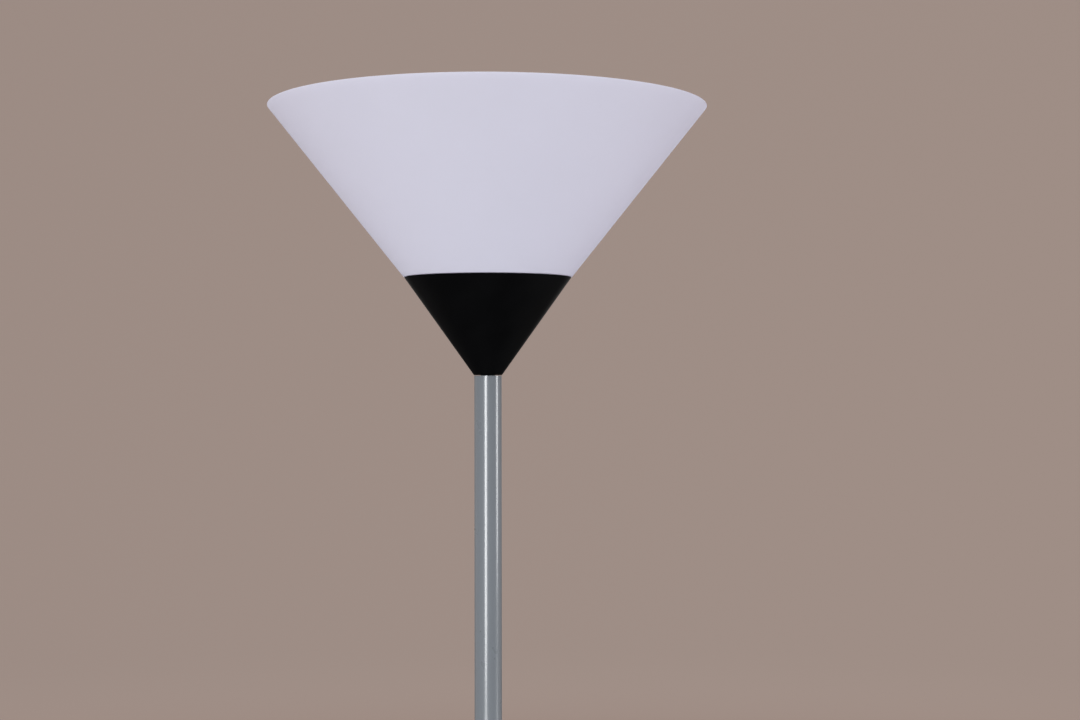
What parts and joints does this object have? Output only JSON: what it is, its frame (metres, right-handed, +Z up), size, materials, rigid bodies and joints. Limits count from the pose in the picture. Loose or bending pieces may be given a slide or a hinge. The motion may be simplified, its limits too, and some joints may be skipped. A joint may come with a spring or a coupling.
{
  "type": "torchiere floor lamp",
  "caption": "Upright floor lamp: round weighted base, slim silver-grey pole with an in-line rotary dimmer, and a black cone cup under a flared opal uplighter shade.",
  "frame": {"origin": "on the floor at the centre of the round base, under the pole", "axes": "+Z up along the pole's axis; -Y is the front, where the dimmer's knob faces; +Y is the back, where the mains inlet is; +X is to the right as seen from the front"},
  "size_m": [0.304, 0.304, 1.78],
  "materials": {
    "opal_plastic": "translucent opal white, smooth satin moulding",
    "black_plastic": "satin black, very fine moulded grain",
    "silver_paint": "satin silver-grey lacquer on steel tube",
    "steel": "bright zinc-plated steel",
    "brass": "rolled brass strip",
    "cast_iron": "rough cast iron",
    "felt": "dense needled felt",
    "rubber_black": "matt moulded rubber",
    "white_plastic": "semi-gloss moulded plastic",
    "board_green": "solder-masked circuit board",
    "component_dark": "moulded epoxy",
    "lead_pvc": "soft white PVC sheath"
  },
  "bodies": {
    "stand": {"base_pad": "felt", "base_weight": "cast_iron", "base_cover": "black_plastic", "base_inlet_grommet": "rubber_black", "base_washer": "steel", "base_nut": "steel", "base_stud": "steel", "base_terminal_block": "white_plastic", "base_terminal_screw_1": "brass", "base_terminal_screw_2": "brass", "base_collar": "black_plastic", "pole_foot_insert": "steel", "pole_section_1": "silver_paint", "pole_socket_1": "steel", "pole_spigot_1": "steel", "pole_section_2": "silver_paint", "pole_socket_2": "steel", "pole_spigot_2": "steel", "pole_section_3": "silver_paint", "pole_section_4": "silver_paint", "pole_top_socket": "steel", "dimmer_shell_front": "black_plastic", "dimmer_shell_back": "black_plastic", "dimmer_shell_screw_1": "steel", "dimmer_shell_screw_2": "steel", "dimmer_shell_screw_3": "steel", "dimmer_shell_screw_4": "steel", "dimmer_potentiometer": "steel", "dimmer_bush_nut": "steel", "dimmer_board": "board_green", "dimmer_terminal_in": "white_plastic", "dimmer_terminal_out": "white_plastic", "dimmer_triac": "component_dark", "dimmer_capacitor": "component_dark", "holder_nipple": "steel", "holder_cup": "black_plastic", "holder_washer": "steel", "holder_nut": "steel", "shade": "opal_plastic", "shade_ring": "black_plastic", "lampholder_cap": "black_plastic", "lampholder_grub_screw": "steel", "lampholder_core": "white_plastic", "lampholder_shell": "black_plastic", "lampholder_screw_shell": "brass", "lampholder_centre_contact": "brass", "lampholder_side_contact": "brass", "lead_lower": "lead_pvc", "lead_upper": "lead_pvc"},
    "knob": {"dimmer_knob": "black_plastic", "dimmer_knob_pointer": "white_plastic", "dimmer_shaft": "steel"},
    "bulb_tip": {"bulb_tip": "steel"},
    "bulb": {"bulb_insulator": "component_dark", "bulb_cap": "steel", "bulb_body": "white_plastic", "bulb_led_board": "white_plastic", "bulb_dome": "opal_plastic"}
  },
  "joints": [
    {"name": "dimmer_turn", "type": "hinge", "parent": "stand", "child": "knob", "pos_m": [0, 0, 1.2], "axis": [0, 1, 0], "range_deg": [0, 270]},
    {"name": "bulb_lift", "type": "slide", "parent": "stand", "child": "bulb_tip", "axis": [0, 0, 1], "range_m": [0, 0.0182]},
    {"name": "bulb_turn", "type": "hinge", "parent": "bulb_tip", "child": "bulb", "pos_m": [0, 0, 1.66], "axis": [0, 0, 1], "range_deg": [0, 1800]}
  ],
  "couplings": [
    {"joint": "bulb_lift", "follows": "bulb_turn", "m_per_rad": 0.00057757}
  ]
}
